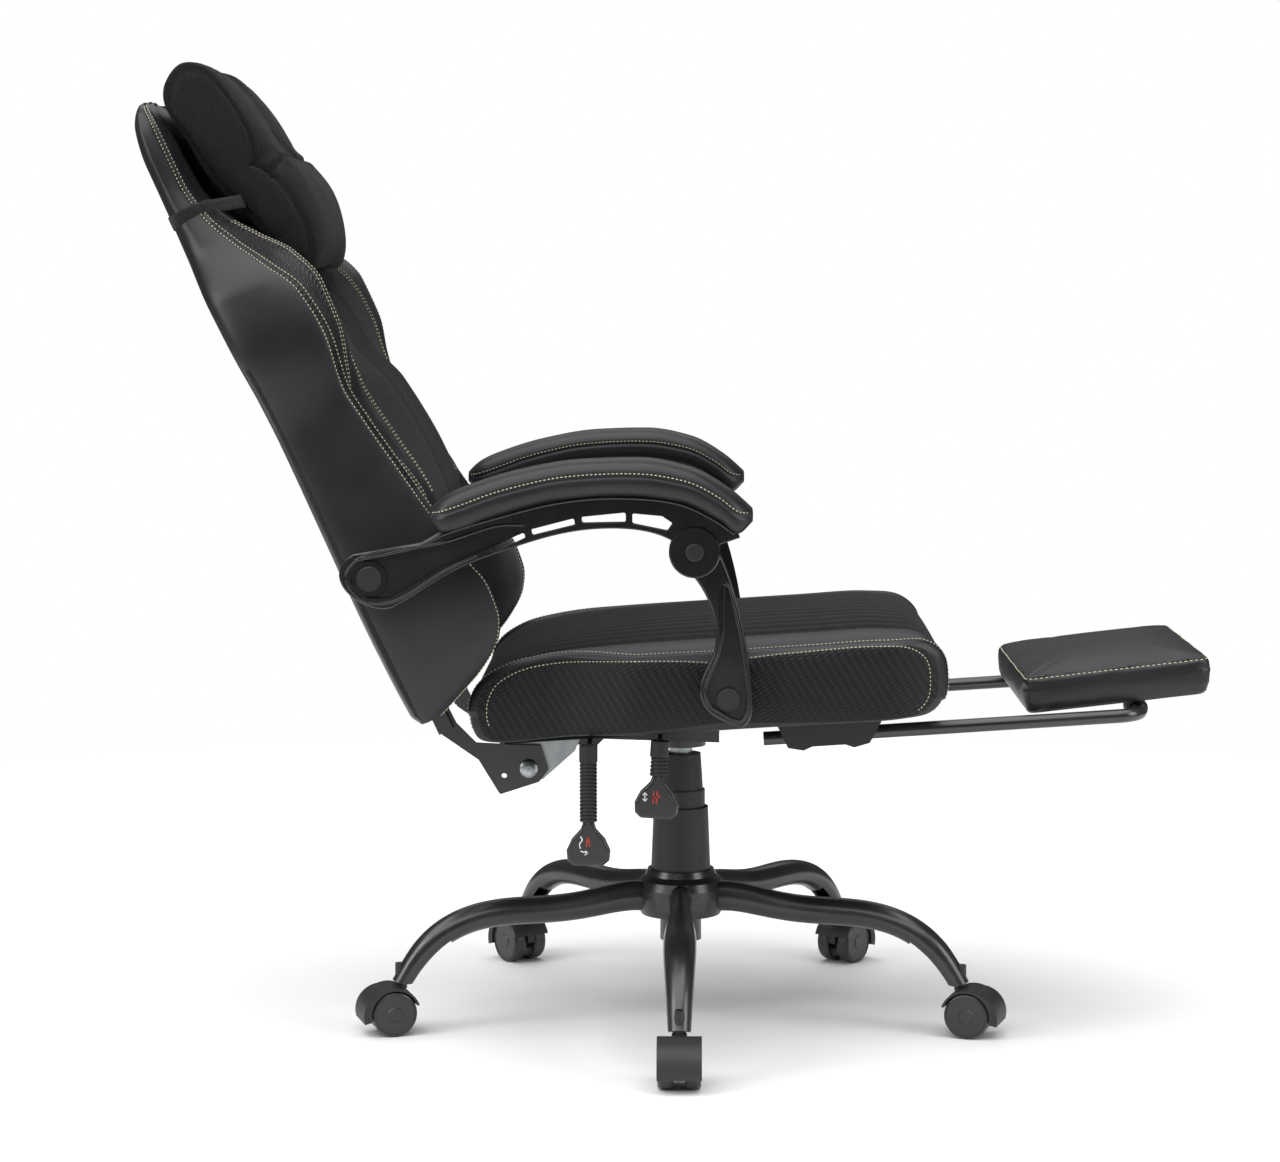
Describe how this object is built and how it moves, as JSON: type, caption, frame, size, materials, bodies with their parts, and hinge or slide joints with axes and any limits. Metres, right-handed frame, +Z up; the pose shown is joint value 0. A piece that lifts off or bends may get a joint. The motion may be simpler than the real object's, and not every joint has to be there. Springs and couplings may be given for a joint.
{
  "type": "gaming chair",
  "caption": "Reclining racing-style gaming chair with linked padded armrests, head pillow, pull-out footrest, gas lift and five-legged base on twin-wheel casters.",
  "frame": {"origin": "on the floor, on the gas lift's axis", "axes": "+X the way the sitter faces, +Y the sitter's left, +Z up; backrest reclined and footrest pulled out at rest"},
  "size_m": [1.2428, 0.745, 1.1399],
  "materials": {
    "satin_black_steel": "satin powder coat",
    "bright_rod": "ground and polished",
    "zinc_steel": "zinc plated",
    "matte_black_plastic": "fine texture",
    "satin_black_plastic": "satin",
    "gloss_black_plastic": "gloss",
    "padded_upholstery": "foam under a cover",
    "black_faux_leather": "smooth polyurethane, soft sheen",
    "carbon_faux_leather": "embossed twill pattern",
    "black_fabric": "woven",
    "stitching": "thread",
    "plywood": "raw",
    "black_rubber": "matte"
  },
  "bodies": {
    "base": {"base_hub": "satin_black_steel", "base_leg_1": "satin_black_steel", "base_leg_2": "satin_black_steel", "base_leg_3": "satin_black_steel", "base_leg_4": "satin_black_steel", "base_leg_5": "satin_black_steel", "gas_cylinder": "satin_black_steel", "lower_cover": "matte_black_plastic"},
    "middle_cover": {"middle_cover": "matte_black_plastic"},
    "gas_rod": {"piston_rod": "bright_rod"},
    "seat": {"seat_cushion": "padded_upholstery", "seat_board": "plywood", "mechanism_housing": "satin_black_steel", "hinge_plate_left": "zinc_steel", "hinge_plate_right": "zinc_steel", "recline_pins": "zinc_steel", "upper_cover": "matte_black_plastic", "lift_lever_arm": "satin_black_steel", "lift_lever_boot": "black_rubber", "recline_lever_arm": "satin_black_steel", "recline_lever_boot": "black_rubber", "footrest_guide_left": "matte_black_plastic", "footrest_guide_right": "matte_black_plastic", "strut_foot_bolt_left": "matte_black_plastic", "strut_foot_bolt_right": "matte_black_plastic"},
    "backrest": {"back_cushion": "padded_upholstery", "back_frame": "satin_black_steel", "recline_arm_left": "satin_black_steel", "recline_arm_right": "satin_black_steel", "headrest_pillow": "black_fabric", "headrest_strap": "black_fabric", "armrest_rear_bolt_left": "matte_black_plastic", "armrest_rear_bolt_right": "matte_black_plastic"},
    "armrest_left": {"armrest_frame_left": "satin_black_plastic", "armrest_pad_left": "padded_upholstery", "knuckle_cap_left": "satin_black_plastic"},
    "armrest_right": {"armrest_frame_right": "satin_black_plastic", "armrest_pad_right": "padded_upholstery", "knuckle_cap_right": "satin_black_plastic"},
    "arm_support_left": {"arm_support_left": "satin_black_plastic"},
    "arm_support_right": {"arm_support_right": "satin_black_plastic"},
    "footrest": {"footrest_tube": "satin_black_steel"},
    "footrest_pad": {"footrest_pad": "padded_upholstery", "footrest_clamps": "matte_black_plastic"},
    "lift_lever": {"lift_lever_paddle": "satin_black_plastic"},
    "recline_lever": {"recline_lever_paddle": "satin_black_plastic"},
    "caster_1": {"caster_1_hood": "matte_black_plastic"},
    "caster_1_wheels": {"caster_1_wheels": "gloss_black_plastic"},
    "caster_2": {"caster_2_hood": "matte_black_plastic"},
    "caster_2_wheels": {"caster_2_wheels": "gloss_black_plastic"},
    "caster_3": {"caster_3_hood": "matte_black_plastic"},
    "caster_3_wheels": {"caster_3_wheels": "gloss_black_plastic"},
    "caster_4": {"caster_4_hood": "matte_black_plastic"},
    "caster_4_wheels": {"caster_4_wheels": "gloss_black_plastic"},
    "caster_5": {"caster_5_hood": "matte_black_plastic"},
    "caster_5_wheels": {"caster_5_wheels": "gloss_black_plastic"}
  },
  "joints": [
    {"name": "lift", "type": "slide", "parent": "base", "child": "gas_rod", "axis": [0, 0, 1], "range_m": [-0.06, 0.035]},
    {"name": "swivel", "type": "hinge", "parent": "gas_rod", "child": "seat", "pos_m": [0, 0, 0.34], "axis": [0, 0, 1], "continuous": true},
    {"name": "cover_slide", "type": "slide", "parent": "base", "child": "middle_cover", "axis": [0, 0, 1], "range_m": [-0.031, 0.018]},
    {"name": "recline", "type": "hinge", "parent": "seat", "child": "backrest", "pos_m": [-0.178, 0, 0.32], "axis": [0, -1, 0], "range_deg": [-14, 25]},
    {"name": "footrest_slide", "type": "slide", "parent": "seat", "child": "footrest", "axis": [0.9978, 0, 0.0663], "range_m": [-0.25, 0]},
    {"name": "footrest_flip", "type": "hinge", "parent": "footrest", "child": "footrest_pad", "pos_m": [0.533, 0, 0.3929], "axis": [0, 1, 0], "range_deg": [0, 180]},
    {"name": "lift_lever_pull", "type": "slide", "parent": "seat", "child": "lift_lever", "axis": [0.0698, 0, 0.9976], "range_m": [0, 0.008], "stiffness_N_per_m": 800, "springref_m": -0.002},
    {"name": "recline_lever_pull", "type": "slide", "parent": "seat", "child": "recline_lever", "axis": [0, 0, 1], "range_m": [0, 0.008], "stiffness_N_per_m": 800, "springref_m": -0.002},
    {"name": "armrest_left_hinge", "type": "hinge", "parent": "backrest", "child": "armrest_left", "pos_m": [-0.344, 0.309, 0.563], "axis": [0, -1, 0], "range_deg": [-18, 11]},
    {"name": "arm_support_left_hinge", "type": "hinge", "parent": "seat", "child": "arm_support_left", "pos_m": [0.054, 0.283, 0.425], "axis": [0, -1, 0], "range_deg": [-21, 37]},
    {"name": "armrest_right_hinge", "type": "hinge", "parent": "backrest", "child": "armrest_right", "pos_m": [-0.344, -0.309, 0.563], "axis": [0, -1, 0], "range_deg": [-18, 11]},
    {"name": "arm_support_right_hinge", "type": "hinge", "parent": "seat", "child": "arm_support_right", "pos_m": [0.054, -0.283, 0.425], "axis": [0, -1, 0], "range_deg": [-21, 37]},
    {"name": "caster_1_swivel", "type": "hinge", "parent": "base", "child": "caster_1", "pos_m": [0, -0.35, 0.06], "axis": [0, 0, 1], "continuous": true},
    {"name": "caster_1_roll", "type": "hinge", "parent": "caster_1", "child": "caster_1_wheels", "pos_m": [0, -0.361, 0.027], "axis": [1, 0, 0], "continuous": true},
    {"name": "caster_2_swivel", "type": "hinge", "parent": "base", "child": "caster_2", "pos_m": [0.33287, -0.10816, 0.06], "axis": [0, 0, 1], "continuous": true},
    {"name": "caster_2_roll", "type": "hinge", "parent": "caster_2", "child": "caster_2_wheels", "pos_m": [0.34333, -0.11156, 0.027], "axis": [0.309, 0.9511, 0], "continuous": true},
    {"name": "caster_3_swivel", "type": "hinge", "parent": "base", "child": "caster_3", "pos_m": [0.20572, 0.28316, 0.06], "axis": [0, 0, 1], "continuous": true},
    {"name": "caster_3_roll", "type": "hinge", "parent": "caster_3", "child": "caster_3_wheels", "pos_m": [0.21219, 0.29206, 0.027], "axis": [-0.809, 0.5878, 0], "continuous": true},
    {"name": "caster_4_swivel", "type": "hinge", "parent": "base", "child": "caster_4", "pos_m": [-0.20572, 0.28316, 0.06], "axis": [0, 0, 1], "continuous": true},
    {"name": "caster_4_roll", "type": "hinge", "parent": "caster_4", "child": "caster_4_wheels", "pos_m": [-0.21219, 0.29206, 0.027], "axis": [-0.809, -0.5878, 0], "continuous": true},
    {"name": "caster_5_swivel", "type": "hinge", "parent": "base", "child": "caster_5", "pos_m": [-0.33287, -0.10816, 0.06], "axis": [0, 0, 1], "continuous": true},
    {"name": "caster_5_roll", "type": "hinge", "parent": "caster_5", "child": "caster_5_wheels", "pos_m": [-0.34333, -0.11156, 0.027], "axis": [0.309, -0.9511, 0], "continuous": true}
  ],
  "couplings": [
    {"joint": "cover_slide", "follows": "lift", "ratio": 0.5},
    {"joint": "footrest_flip", "follows": "footrest_slide", "rad_per_m": -12.566},
    {"joint": "armrest_left_hinge", "follows": "recline", "ratio": -0.705},
    {"joint": "arm_support_left_hinge", "follows": "recline", "ratio": 1.455},
    {"joint": "armrest_right_hinge", "follows": "recline", "ratio": -0.705},
    {"joint": "arm_support_right_hinge", "follows": "recline", "ratio": 1.455}
  ]
}
